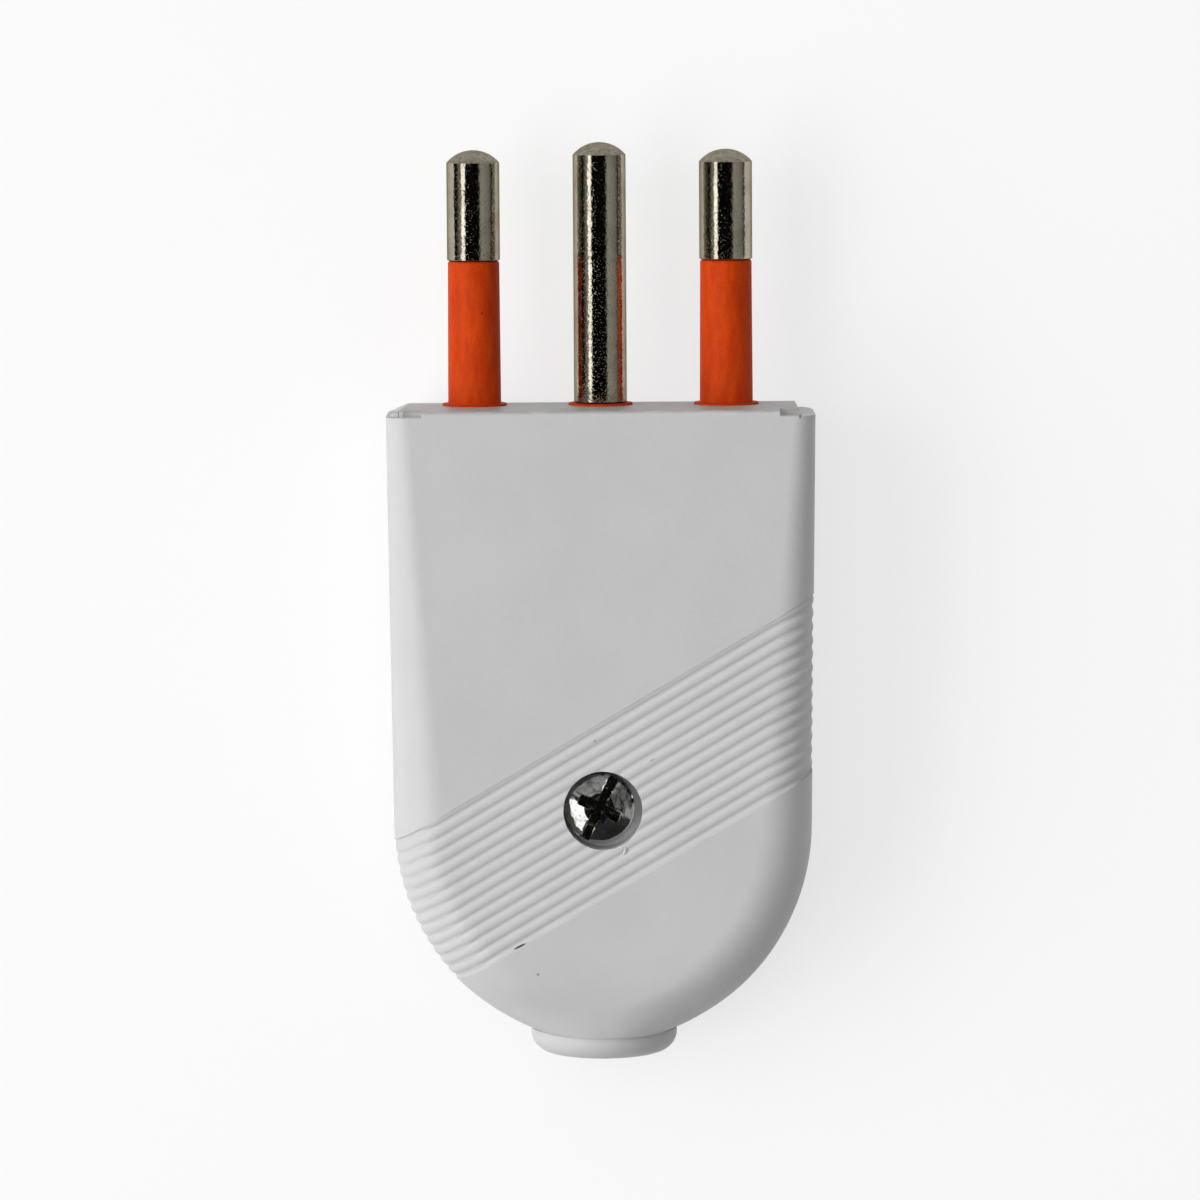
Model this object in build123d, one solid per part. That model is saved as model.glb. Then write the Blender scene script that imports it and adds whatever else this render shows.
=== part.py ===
from build123d import *
import math
import os

# Contacts: round pins, in line
PIN_PITCH = 9.5
PIN_RADIUS = 2.0
LINE_PIN_TIP = 19.05
EARTH_PIN_TIP = 19.6
PIN_DOME = 1.25
PIN_CORE_RADIUS = 1.5
SLEEVE_END = 10.72
SLEEVE_TIP_RADIUS = 1.94
SLEEVE_ROOT_RADIUS = 2.0
PIN_EDGE_BREAK = 0.12

# Terminal blocks behind the carrier
BLOCK_SIDE = 5.4
BLOCK_LENGTH = 7.5
WIRE_HOLE_RADIUS = 1.45
WIRE_HOLE_DEPTH = 6.6
TERMINAL_SCREW_RADIUS = 1.5
TERMINAL_SCREW_BACK = 3.6
TERMINAL_HEAD_RADIUS = 2.3
TERMINAL_HEAD_HEIGHT = 1.5
TERMINAL_HEAD_LIFT = 0.5
TERMINAL_HEAD_ROOM = 0.6
TERMINAL_SCREW_GRIP = 2.7

# Pin carrier
BOSS_RADIUS = 2.42
BOSS_PROUD = 0.15
CARRIER_SIDE_GAP = 0.6
CARRIER_DEPTH = 5.7
CARRIER_HALF_HEIGHT = 3.6
PARTITION_THICKNESS = 1.2
PARTITION_LENGTH = 8.4
CARRIER_RIB_WIDTH = 2.0
CARRIER_STOP = 1.5

# Housing outline seen from the front
BODY_WIDTH = 32.05
SIDE_TAPER = 0.55
END_ARC_START = -31.6
END_ARC_OFFSET = 1.55
END_ARC_SWEEP = 67.65
FRONT_HEIGHT = 7.5
CROWN_DROP = 1.5
CROWN_LENGTH = 5.6
REAR_HEIGHT = 7.0
REAR_EDGE = 4.5
EDGE_AT_PINS = 1.6
EDGE_AT_ARC = 3.8
PIN_END_ROUNDING = 0.3
EDGE_AT_END = 5.0

# Housing walls
SIDE_WALL = 1.8
FRONT_WALL = 2.2
REAR_WALL = 1.8
PIN_WALL = 2.0
CORD_WALL = 3.8
CEILING_FILLET = 1.9
FLOOR_FILLET = 1.6
LIP_THICKNESS = 0.8
LIP_HEIGHT = 1.0
LIP_FROM = -5.0
LIP_TO = -34.0

# Notches for opening the housing
NOTCH_EDGE = 1.275
NOTCH_WIDTH = 1.4
NOTCH_DROP = 0.45
NOTCH_DEPTH = 1.9
NOTCH_SLOT = 0.2
NOTCH_SLOT_DROP = 0.62
TAB_EDGE = 0.375
TAB_WIDTH = 0.6
TAB_DROP = 0.1
TAB_BACK = 1.0
REAR_SHOULDER_DROP = 0.6
REAR_SLOPE_EDGE = 0.275
REAR_SLOPE_WIDTH = 1.25

# Rib band
RIB_COUNT = 12
RIB_ANGLE = 30.4
RIB_PITCH = 0.89
RIB_RADIUS = 0.72
RIB_SINK = 0.02
RIB_DEPTH = 0.12
RIB_RIM = 1.5
RIB_STEPS = 4

# Housing screw and nut
SCREW_FROM_ARC = 1.5
SCREW_RECESS_RADIUS = 2.95
SCREW_RECESS_DEPTH = 2.1
SCREW_HEAD_RADIUS = 2.62
SCREW_HEAD_HEIGHT = 1.9
SCREW_RADIUS = 1.5
SCREW_TIP_SUNK = 0.45
SCREW_TURN = 70.0
SCREW_POST_RADIUS = 4.1
DRIVE_SLOT_WIDTH = 0.76
DRIVE_SLOT_DEPTH = 0.75
DRIVE_CROSS_WIDTH = 0.84
DRIVE_CROSS_REACH = 1.6
DRIVE_CROSS_DEPTH = 1.55
NUT_ACROSS = 5.5
NUT_HEIGHT = 2.4
NUT_SUNK = 0.2

# Cord entry and clamp
CORD_RADIUS = 3.75
BUSH_RADIUS = 5.55
BUSH_WAIST = 4.6
BUSH_FLANGE = 5.1
BUSH_PROUD = 1.85
BUSH_FLANGE_LENGTH = 1.1
BUSH_ROUNDING = 1.5
NECK_GAP = 0.01
CLAMP_FROM_END = 8.9
CLAMP_WIDTH = 5.0
CLAMP_THICKNESS = 1.2
CLAMP_INNER_RADIUS = 3.6
CLAMP_HALF_LENGTH = 10.3
CLAMP_SCREW_X = 8.0
CLAMP_FOOT = -0.5
CLAMP_POST_RADIUS = 2.5
CLAMP_SCREW_RADIUS = 1.45
CLAMP_SCREW_LENGTH = 4.3
CLAMP_HEAD_RADIUS = 2.4
CLAMP_HEAD_HEIGHT = 1.5
CLAMP_SADDLE = 7.0
CLAMP_SADDLE_WIDTH = 1.6

# Fit clearances
SLIP = 0.05
LOOSE = 0.1
PARTING = 0.05

# Values that follow from the ones above
HALF_WIDTH = BODY_WIDTH / 2
ARC_HALF_WIDTH = (BODY_WIDTH - SIDE_TAPER) / 2
END_ARC_RADIUS = ARC_HALF_WIDTH + END_ARC_OFFSET
BODY_END = END_ARC_START - END_ARC_RADIUS * math.sin(math.radians(END_ARC_SWEEP))
CROWN_START = BODY_END + CROWN_LENGTH
CORD_WALL_INSIDE = BODY_END + CORD_WALL
BUSH_END = BODY_END - BUSH_PROUD
BUSH_INSIDE = CORD_WALL_INSIDE + BUSH_FLANGE_LENGTH
CLAMP_Y = BODY_END + CLAMP_FROM_END
SCREW_Y = END_ARC_START + SCREW_FROM_ARC
NOTCH_OUTER = HALF_WIDTH - NOTCH_EDGE
NOTCH_INNER = NOTCH_OUTER - NOTCH_WIDTH
TAB_OUTER = HALF_WIDTH - TAB_EDGE
TAB_INNER = TAB_OUTER - TAB_WIDTH
REAR_SLOPE_END = HALF_WIDTH - REAR_SLOPE_EDGE
REAR_SLOPE_START = REAR_SLOPE_END - REAR_SLOPE_WIDTH
PIN_FACE = -BOSS_PROUD
CARRIER_FRONT = PIN_FACE - PIN_WALL - LOOSE
CARRIER_BACK = CARRIER_FRONT - CARRIER_DEPTH
BLOCK_FRONT = CARRIER_BACK - SLIP
BLOCK_BACK = BLOCK_FRONT - BLOCK_LENGTH
TERMINAL_SCREW_Y = BLOCK_BACK + TERMINAL_SCREW_BACK
CEILING = FRONT_HEIGHT - FRONT_WALL
FLOOR = -REAR_HEIGHT + REAR_WALL
SCREW_SEAT = FRONT_HEIGHT - SCREW_RECESS_DEPTH
SCREW_LENGTH = SCREW_SEAT + SLIP + REAR_HEIGHT - SCREW_TIP_SUNK
NUT_POCKET = NUT_HEIGHT + NUT_SUNK
CARRIER_HALF_WIDTH = HALF_WIDTH - SIDE_WALL - CARRIER_SIDE_GAP
TERMINAL_SEAT = CEILING - TERMINAL_HEAD_ROOM - TERMINAL_HEAD_HEIGHT
BLOCK_TOP = TERMINAL_SEAT - TERMINAL_HEAD_LIFT
RIB_SLOPE = math.tan(math.radians(RIB_ANGLE))
LINE_PINS = (-PIN_PITCH, PIN_PITCH)
ALL_PINS = (-PIN_PITCH, 0.0, PIN_PITCH)


# Outline of the housing

def half_width(y, inset=0.0):
    """Half the housing's width at y, with the wall moved in by inset."""
    if y >= END_ARC_START:
        along = y / END_ARC_START
        return HALF_WIDTH + (ARC_HALF_WIDTH - HALF_WIDTH) * along - inset
    rise = y - END_ARC_START
    return math.sqrt((END_ARC_RADIUS - inset) ** 2 - rise ** 2) - END_ARC_OFFSET


def plan(inset, y_pins, y_cord):
    """Face of the outline between two cross lines, moved in by inset."""
    radius = END_ARC_RADIUS - inset
    side = ARC_HALF_WIDTH - inset
    start = half_width(y_pins, inset)
    sweep_end = math.asin((END_ARC_START - y_cord) / radius)
    mid_x = radius * math.cos(sweep_end / 2) - END_ARC_OFFSET
    mid_y = END_ARC_START - radius * math.sin(sweep_end / 2)
    end_x = half_width(y_cord, inset)
    edges = [
        Line((-start, y_pins), (start, y_pins)),
        Line((start, y_pins), (side, END_ARC_START)),
        ThreePointArc((side, END_ARC_START), (mid_x, mid_y), (end_x, y_cord)),
        Line((end_x, y_cord), (-end_x, y_cord)),
        ThreePointArc((-end_x, y_cord), (-mid_x, mid_y), (-side, END_ARC_START)),
        Line((-side, END_ARC_START), (-start, y_pins)),
    ]
    return make_face(Curve() + edges)


def block(x0, x1, y0, y1, z0, z1):
    """Box between two corners."""
    centre = ((x0 + x1) / 2, (y0 + y1) / 2, (z0 + z1) / 2)
    return Pos(*centre) * Box(abs(x1 - x0), abs(y1 - y0), abs(z1 - z0))


def post(x, y, radius, z0, z1):
    """Upright cylinder between two heights."""
    return Pos(x, y, (z0 + z1) / 2) * Cylinder(radius, z1 - z0)


def rod(x, radius, y0, y1):
    """Cylinder along Y through the pin plane."""
    return Pos(x, (y0 + y1) / 2, 0) * Rot(90, 0, 0) * Cylinder(radius, abs(y1 - y0))


def turned(points):
    """Solid of revolution about the Y axis from (radius, y) points."""
    return revolve(make_face(Polyline(*points, close=True)), Axis.Y)


# Front form: rounding widens towards the cord end

def front_section(y, inset=0.0):
    """Half width, height and the two edge radii of the front form at y."""
    along = min(1.0, y / END_ARC_START)
    edge = EDGE_AT_PINS + (EDGE_AT_ARC - EDGE_AT_PINS) * along
    lean = 1.0
    if y < END_ARC_START:
        past = (y - END_ARC_START) / (BODY_END - END_ARC_START)
        edge = EDGE_AT_ARC + (EDGE_AT_END - EDGE_AT_ARC) * past
        lean = math.sqrt(1 - ((y - END_ARC_START) / END_ARC_RADIUS) ** 2)
    height = FRONT_HEIGHT
    if y < CROWN_START:
        past = (y - CROWN_START) / (BODY_END - CROWN_START)
        height -= CROWN_DROP * past ** 2
    half = half_width(y, inset)
    across = min((edge - inset) / lean, half - 0.4)
    return half, height - inset, across, edge - inset


def front_form(inset=0.0):
    """Solid outer form of the front cover, moved in by inset."""
    curve = 0.5523
    straight = (0.19, 0.38, 0.56, 0.72, 0.85, 0.94, 1.0)
    arched = (0.09, 0.18, 0.31, 0.43, 0.55, 0.67, 0.77, 0.85, 0.91, 0.96, 1.0)
    stations = [PIN_FACE] + [END_ARC_START * share for share in straight]
    stations += [END_ARC_START + (BODY_END - END_ARC_START) * share for share in arched]
    sections = []
    for y in stations:
        a, c, rx, rz = front_section(y, inset)
        left = [(-a, y, c - rz), (-a, y, c - rz + curve * rz)]
        left += [(-a + rx - curve * rx, y, c), (-a + rx, y, c)]
        right = [(-x, level_y, z) for x, level_y, z in reversed(left)]
        edges = [
            Line((-a, y, PARTING), left[0]),
            Bezier(*left),
            Line(left[-1], right[0]),
            Bezier(*right),
            Line(right[-1], (a, y, PARTING)),
            Line((a, y, PARTING), (-a, y, PARTING)),
        ]
        sections.append(Wire(edges))
    return Solid.make_loft(sections)


# Rib band

def skin_point(side, y, angle, inset):
    """Point under the front form's rounded edge, inset along its normal."""

    def surface(at_y, at_angle):
        a, c, rx, rz = front_section(at_y)
        x = side * (a - rx * (1 - math.cos(at_angle)))
        return Vector(x, at_y, c - rz * (1 - math.sin(at_angle)))

    step = 1e-4
    along = surface(y + step, angle) - surface(y - step, angle)
    around = surface(y, angle + step) - surface(y, angle - step)
    normal = along.cross(around).normalized() * side
    return surface(y, angle) - normal * inset


def rib_point(side, offset, angle, inset):
    """Point of the rib line y = slope * x + offset under the rounded edge."""
    low = BODY_END + RIB_RIM
    high = PIN_FACE - RIB_RIM
    for _ in range(40):
        middle = (low + high) / 2
        point = skin_point(side, middle, angle, inset)
        if point.Y - RIB_SLOPE * point.X > offset:
            high = middle
        else:
            low = middle
    return skin_point(side, (low + high) / 2, angle, inset)


def rib(offset):
    """One round rib that follows the cover over both rounded edges."""
    inset = RIB_RADIUS + RIB_SINK
    angles = [math.radians(90 * i / RIB_STEPS) for i in range(RIB_STEPS + 1)]
    left = [rib_point(-1, offset, angle, inset) for angle in angles]
    right = [rib_point(1, offset, angle, inset) for angle in reversed(angles)]
    run = (right[0] - left[-1]).normalized()
    start = Vector(left[0].X, left[0].Y, RIB_RIM - 0.3)
    end = Vector(right[-1].X, right[-1].Y, RIB_RIM - 0.3)
    path = Wire([
        Line(start, left[0]),
        Spline(*left, tangents=[(0, 0, 1), run]),
        Line(left[-1], right[0]),
        Spline(*right, tangents=[run, (0, 0, -1)]),
        Line(right[-1], end),
    ])
    return sweep(Plane(start, z_dir=(0, 0, 1)) * Circle(RIB_RADIUS), path=path)


def rib_band(outer):
    """Front form with the band sunk and the ribs laid in it, one more half in each edge.

    Neighbouring ribs run into each other, so every other one is joined first.
    """
    width = (RIB_COUNT + 1) * RIB_PITCH
    level = RIB_RIM + FRONT_HEIGHT
    zone = Pos(0, SCREW_Y, level) * Rot(0, 0, RIB_ANGLE)
    zone *= Box(2 * BODY_WIDTH, width, 2 * FRONT_HEIGHT)
    body = outer - (zone & (outer - front_form(RIB_DEPTH)))
    pitch_y = RIB_PITCH / math.cos(math.radians(RIB_ANGLE))
    first = SCREW_Y - (RIB_COUNT + 1) / 2 * pitch_y
    ribs = [rib(first + i * pitch_y) for i in range(RIB_COUNT + 2)]
    return body + ribs[::2] + ribs[1::2]


# Covers

def lip_ring(outer_inset, inner_inset, z0, z1, slack):
    """Two runs of wall along the sides, used for the lip and for its groove."""
    ring = plan(outer_inset, LIP_FROM + slack, LIP_TO - slack)
    ring -= plan(inner_inset, LIP_FROM + 1, LIP_TO - 1)
    return Pos(0, 0, z0) * extrude(ring, z1 - z0)


def boss_holes():
    """Round openings in the pin wall for the carrier's bosses."""
    return [rod(x, BOSS_RADIUS + SLIP, 1, CARRIER_FRONT - 1) for x in ALL_PINS]


def bush_seat():
    """Waist and inner flange of the bush, cut from both covers."""
    waist = rod(0, BUSH_WAIST + SLIP, CORD_WALL_INSIDE + 1, BODY_END - 1)
    return waist + rod(0, BUSH_FLANGE + LOOSE, CORD_WALL_INSIDE, BUSH_INSIDE + 2)


def front_cover():
    form = front_form()
    rim = form.faces().sort_by(Axis.Y)[-1].edges().sort_by(Axis.Z)[1:]
    cover = rib_band(fillet(rim, PIN_END_ROUNDING))
    room = plan(SIDE_WALL, PIN_FACE - PIN_WALL, CORD_WALL_INSIDE)
    cavity = Pos(0, 0, -1) * extrude(room, CEILING + 1)
    cavity = fillet(cavity.faces().sort_by(Axis.Z)[-1].edges(), CEILING_FILLET)
    cover -= cavity
    inside = CEILING + 0.5
    cover += post(0, SCREW_Y, SCREW_POST_RADIUS, PARTING, inside)
    carrier_top = CARRIER_HALF_HEIGHT + LOOSE
    r = CARRIER_RIB_WIDTH / 2
    for x in LINE_PINS:
        cover += block(x - r, x + r, CARRIER_FRONT, CARRIER_BACK + r, carrier_top, inside)
    cover -= post(0, SCREW_Y, SCREW_RECESS_RADIUS, SCREW_SEAT, FRONT_HEIGHT + 1)
    cover -= post(0, SCREW_Y, SCREW_RADIUS + 0.2, -1, FRONT_HEIGHT)
    groove = LIP_HEIGHT + LOOSE
    cover -= lip_ring(SIDE_WALL - LIP_THICKNESS - SLIP, SIDE_WALL + 1, -1, groove, LOOSE)
    cover -= boss_holes()
    cover -= bush_seat()
    low = FRONT_HEIGHT - NOTCH_DEPTH
    high = FRONT_HEIGHT + 1
    floor = PIN_FACE - NOTCH_DROP
    for side in (-1, 1):
        outer = side * (HALF_WIDTH + 1)
        cover -= block(side * NOTCH_INNER, outer, floor, 1, low, high)
        cover -= block(side * NOTCH_OUTER, outer, floor, 1, -1, high)
    slot = NOTCH_OUTER + NOTCH_SLOT
    cover -= block(NOTCH_OUTER, slot, PIN_FACE - NOTCH_SLOT_DROP, 1, low, high)
    top = FRONT_HEIGHT - TAB_BACK
    cover += block(-TAB_INNER, -TAB_OUTER, floor - 1, PIN_FACE - TAB_DROP, low, top)
    return cover


def rear_cover():
    shell = Pos(0, 0, -REAR_HEIGHT) * extrude(plan(0, PIN_FACE, BODY_END), REAR_HEIGHT - PARTING)
    back = shell.faces().sort_by(Axis.Z)[0]
    cover = fillet(back.edges(), REAR_EDGE)
    room = plan(SIDE_WALL, PIN_FACE - PIN_WALL, CORD_WALL_INSIDE)
    cavity = Pos(0, 0, FLOOR) * extrude(room, REAR_HEIGHT)
    cavity = fillet(cavity.faces().sort_by(Axis.Z)[0].edges(), FLOOR_FILLET)
    cover -= cavity
    below = FLOOR - 0.5
    cover += lip_ring(SIDE_WALL - LIP_THICKNESS, SIDE_WALL, -2, LIP_HEIGHT, 0)
    cover += post(0, SCREW_Y, SCREW_POST_RADIUS, below, -PARTING)
    carrier_low = -CARRIER_HALF_HEIGHT - LOOSE
    stop = CARRIER_BACK - LOOSE
    stop_top = -BLOCK_TOP - LOOSE
    r = CARRIER_RIB_WIDTH / 2
    hole = CLAMP_SCREW_RADIUS + SLIP
    post_top = CLAMP_FOOT - SLIP
    for side in (-1, 1):
        x = side * PIN_PITCH
        cover += block(x - r, x + r, CARRIER_FRONT, stop, below, carrier_low)
        cover += block(x - r, x + r, stop - CARRIER_STOP, stop, below, stop_top)
        x = side * CLAMP_SCREW_X
        cover += post(x, CLAMP_Y, CLAMP_POST_RADIUS, below, post_top)
        cover -= post(x, CLAMP_Y, hole, post_top - CLAMP_SCREW_LENGTH, post_top + 1)
    saddle = CLAMP_SADDLE / 2
    t = CLAMP_SADDLE_WIDTH / 2
    cover += block(-saddle, saddle, CLAMP_Y - t, CLAMP_Y + t, below, -CLAMP_INNER_RADIUS)
    cover -= post(0, SCREW_Y, SCREW_RADIUS + 0.2, -REAR_HEIGHT - 1, 1)
    pocket = RegularPolygon((NUT_ACROSS + 2 * SLIP) / 2, 6, major_radius=False)
    cover -= Pos(0, SCREW_Y, -REAR_HEIGHT) * extrude(pocket, NUT_POCKET)
    cover -= boss_holes()
    cover -= bush_seat()
    floor = PIN_FACE - REAR_SHOULDER_DROP
    outer = HALF_WIDTH + 1
    cover -= block(NOTCH_OUTER, outer, floor, 1, -REAR_HEIGHT - 1, 1)
    corner = Polyline(
        (-REAR_SLOPE_START, PIN_FACE),
        (-REAR_SLOPE_END, floor),
        (-outer, floor),
        (-outer, 1),
        (-REAR_SLOPE_START, 1),
        close=True,
    )
    cover -= Pos(0, 0, -REAR_HEIGHT - 1) * extrude(make_face(corner), REAR_HEIGHT + 2)
    return cover


# Pin carrier with its sleeves

def pin_carrier():
    w = CARRIER_HALF_WIDTH
    h = CARRIER_HALF_HEIGHT
    carrier = block(-w, w, CARRIER_BACK, CARRIER_FRONT, -h, h)
    carrier = chamfer(carrier.edges(), 0.4)
    for side in (-1, 1):
        x = side * PIN_PITCH / 2
        t = PARTITION_THICKNESS / 2
        carrier += block(x - t, x + t, CARRIER_BACK - PARTITION_LENGTH, CARRIER_BACK + 1, -h, h)
    for x in ALL_PINS:
        carrier += rod(x, BOSS_RADIUS, 0, CARRIER_FRONT - 1)
    for x in LINE_PINS:
        sleeve = turned([
            (0, -1),
            (SLEEVE_ROOT_RADIUS, -1),
            (SLEEVE_ROOT_RADIUS, 0),
            (SLEEVE_TIP_RADIUS, SLEEVE_END - 0.12),
            (SLEEVE_TIP_RADIUS - 0.1, SLEEVE_END),
            (0, SLEEVE_END),
        ])
        carrier += Pos(x, 0, 0) * sleeve
    for x in ALL_PINS:
        carrier -= rod(x, PIN_CORE_RADIUS + SLIP, SLEEVE_END + 1, CARRIER_BACK - 1)
    return carrier


# Pins, each with its terminal block

def pin(bare_from, tip, shoulder_edge):
    """Pin along Y: bare metal from bare_from to the domed tip, terminal block behind."""
    dome_from = tip - PIN_DOME
    dome_radius = (PIN_RADIUS ** 2 + PIN_DOME ** 2) / (2 * PIN_DOME)
    outline = Polyline(
        (0, tip),
        (0, BLOCK_FRONT - 1),
        (PIN_CORE_RADIUS, BLOCK_FRONT - 1),
        (PIN_CORE_RADIUS, bare_from),
        *shoulder_edge,
        (PIN_RADIUS, dome_from),
    )
    dome = RadiusArc((PIN_RADIUS, dome_from), (0, tip), -dome_radius)
    shank = revolve(make_face(outline + dome), Axis.Y)
    s = BLOCK_SIDE / 2
    terminal = block(-s, s, BLOCK_BACK, BLOCK_FRONT, -BLOCK_TOP, BLOCK_TOP)
    terminal = chamfer(terminal.edges(), 0.4)
    whole = shank + terminal
    whole -= rod(0, WIRE_HOLE_RADIUS, BLOCK_BACK - 1, BLOCK_BACK + WIRE_HOLE_DEPTH)
    whole -= post(0, TERMINAL_SCREW_Y, TERMINAL_SCREW_RADIUS + SLIP, 0, BLOCK_TOP + 1)
    return whole


def line_pin():
    """Outer pin: its bare end starts above the sleeve with a broken edge."""
    start = SLEEVE_END + SLIP
    broken = [(PIN_RADIUS - PIN_EDGE_BREAK, start), (PIN_RADIUS, start + PIN_EDGE_BREAK)]
    return pin(start, LINE_PIN_TIP, broken)


def earth_pin():
    """Middle pin: bare from the face of its boss."""
    return pin(0.0, EARTH_PIN_TIP, [(PIN_RADIUS, 0.0)])


# Screws, nut, clamp and bush

def slotted_screw(head_radius, head_height, radius, length):
    """Cheese-head screw, head seat at z = 0, tip down."""
    head = fillet(post(0, 0, head_radius, 0, head_height).edges().sort_by(Axis.Z)[-1], 0.3)
    shank = post(0, 0, radius, -length, 0.2)
    shank = chamfer(shank.edges().sort_by(Axis.Z)[0], 0.4)
    slot = block(-head_radius - 1, head_radius + 1, -0.4, 0.4, head_height - 0.8, head_height + 1)
    return head + shank - slot


def terminal_screws():
    length = TERMINAL_HEAD_LIFT + TERMINAL_SCREW_GRIP
    head = (TERMINAL_HEAD_RADIUS, TERMINAL_HEAD_HEIGHT)
    screw = slotted_screw(*head, TERMINAL_SCREW_RADIUS, length)
    return Compound([Pos(x, TERMINAL_SCREW_Y, TERMINAL_SEAT) * screw for x in ALL_PINS])


def cord_clamp():
    inner = CLAMP_INNER_RADIUS
    outer = inner + CLAMP_THICKNESS
    foot_top = CLAMP_FOOT + CLAMP_THICKNESS
    strap = extrude(Plane.XZ * Circle(outer), CLAMP_WIDTH / 2, both=True)
    strap += block(-CLAMP_HALF_LENGTH, CLAMP_HALF_LENGTH, -CLAMP_WIDTH / 2, CLAMP_WIDTH / 2,
                   CLAMP_FOOT, foot_top)
    strap -= extrude(Plane.XZ * Circle(inner), CLAMP_WIDTH, both=True)
    strap -= block(-outer, outer, -CLAMP_WIDTH, CLAMP_WIDTH, -outer, CLAMP_FOOT)
    for side in (-1, 1):
        strap -= post(side * CLAMP_SCREW_X, 0, CLAMP_SCREW_RADIUS + 0.25, -outer, outer)
    ends = strap.edges().filter_by(Axis.Z).group_by(Axis.X)
    strap = fillet(ends[0] + ends[-1], 1.8)
    return Pos(0, CLAMP_Y, 0) * strap


def cord_clamp_screws():
    head = (CLAMP_HEAD_RADIUS, CLAMP_HEAD_HEIGHT)
    screw = slotted_screw(*head, CLAMP_SCREW_RADIUS, CLAMP_SCREW_LENGTH)
    seat = CLAMP_FOOT + CLAMP_THICKNESS + SLIP
    places = (-CLAMP_SCREW_X, CLAMP_SCREW_X)
    return Compound([Pos(x, CLAMP_Y, seat) * screw for x in places])


def housing_screw():
    head = post(0, 0, SCREW_HEAD_RADIUS, 0, SCREW_HEAD_HEIGHT)
    head = fillet(head.edges().sort_by(Axis.Z)[-1], 0.9)
    shank = post(0, 0, SCREW_RADIUS, -SCREW_LENGTH, 0.2)
    shank = chamfer(shank.edges().sort_by(Axis.Z)[0], 0.4)
    top = SCREW_HEAD_HEIGHT + 1
    reach = SCREW_HEAD_RADIUS + 1
    half = DRIVE_SLOT_WIDTH / 2
    slot = block(-reach, reach, -half, half, SCREW_HEAD_HEIGHT - DRIVE_SLOT_DEPTH, top)
    reach = DRIVE_CROSS_REACH
    half = DRIVE_CROSS_WIDTH / 2
    low = SCREW_HEAD_HEIGHT - DRIVE_CROSS_DEPTH
    cross = block(-reach, reach, -half, half, low, top)
    cross += block(-half, half, -reach, reach, low, top)
    screw = Rot(0, 0, SCREW_TURN) * (head + shank - slot - cross)
    return Pos(0, SCREW_Y, SCREW_SEAT + SLIP) * screw


def housing_nut():
    nut = extrude(RegularPolygon(NUT_ACROSS / 2, 6, major_radius=False), NUT_HEIGHT)
    nut -= post(0, 0, SCREW_RADIUS + SLIP, -1, NUT_HEIGHT + 1)
    top = -REAR_HEIGHT + NUT_POCKET - SLIP
    return Pos(0, SCREW_Y, top - NUT_HEIGHT) * nut


def cord_bush():
    neck = BODY_END - NECK_GAP
    inside = CORD_WALL_INSIDE + SLIP
    outline = turned([
        (CORD_RADIUS, BUSH_END),
        (BUSH_RADIUS, BUSH_END),
        (BUSH_RADIUS, neck),
        (BUSH_WAIST, neck),
        (BUSH_WAIST, inside),
        (BUSH_FLANGE, inside),
        (BUSH_FLANGE, BUSH_INSIDE),
        (CORD_RADIUS, BUSH_INSIDE),
    ])
    rings = outline.edges().filter_by(GeomType.CIRCLE).group_by(Axis.Y)[0].sort_by(SortBy.RADIUS)
    bush = fillet(rings[-1], BUSH_ROUNDING)
    return bush


def main():
    os.makedirs("parts", exist_ok=True)
    nodes = {
        "front_cover": front_cover(),
        "rear_cover": rear_cover(),
        "pin_carrier": pin_carrier(),
        "live_pin": Pos(PIN_PITCH, 0, 0) * line_pin(),
        "neutral_pin": Pos(-PIN_PITCH, 0, 0) * line_pin(),
        "earth_pin": earth_pin(),
        "terminal_screws": terminal_screws(),
        "housing_screw": housing_screw(),
        "housing_nut": housing_nut(),
        "cord_clamp": cord_clamp(),
        "cord_clamp_screws": cord_clamp_screws(),
        "cord_bush": cord_bush(),
    }
    for name, shape in nodes.items():
        export_step(shape, f"parts/{name}.step")


if __name__ == "__main__":
    main()
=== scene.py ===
import logging
import math
from dataclasses import dataclass
from enum import Enum
from typing import List, Optional, Tuple, Union

import bmesh
import bpy
from mathutils import Matrix, Vector, noise


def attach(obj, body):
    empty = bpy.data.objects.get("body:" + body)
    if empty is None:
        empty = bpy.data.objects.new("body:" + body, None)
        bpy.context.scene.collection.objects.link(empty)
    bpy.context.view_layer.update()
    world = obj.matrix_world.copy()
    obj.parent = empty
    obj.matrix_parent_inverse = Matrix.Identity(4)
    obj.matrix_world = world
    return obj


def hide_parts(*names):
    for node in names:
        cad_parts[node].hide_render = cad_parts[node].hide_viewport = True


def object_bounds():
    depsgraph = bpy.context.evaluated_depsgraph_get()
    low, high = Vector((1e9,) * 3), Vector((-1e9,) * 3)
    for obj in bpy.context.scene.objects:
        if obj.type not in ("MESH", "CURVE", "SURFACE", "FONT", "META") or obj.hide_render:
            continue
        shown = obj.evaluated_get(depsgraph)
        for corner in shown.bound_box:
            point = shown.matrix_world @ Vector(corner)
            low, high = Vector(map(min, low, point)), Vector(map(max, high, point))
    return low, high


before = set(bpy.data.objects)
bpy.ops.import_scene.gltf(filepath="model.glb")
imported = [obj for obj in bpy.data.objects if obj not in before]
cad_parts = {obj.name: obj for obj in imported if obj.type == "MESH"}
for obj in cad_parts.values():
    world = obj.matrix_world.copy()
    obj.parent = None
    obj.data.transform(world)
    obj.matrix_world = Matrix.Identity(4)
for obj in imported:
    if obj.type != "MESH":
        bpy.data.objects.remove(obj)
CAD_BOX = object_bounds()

MM = 0.001
WELD = 1e-4
FINE_WELD = 1e-5
LOG = logging.getLogger("plug")
Span = Tuple[float, float]
Triple = Tuple[float, float, float]
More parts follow.
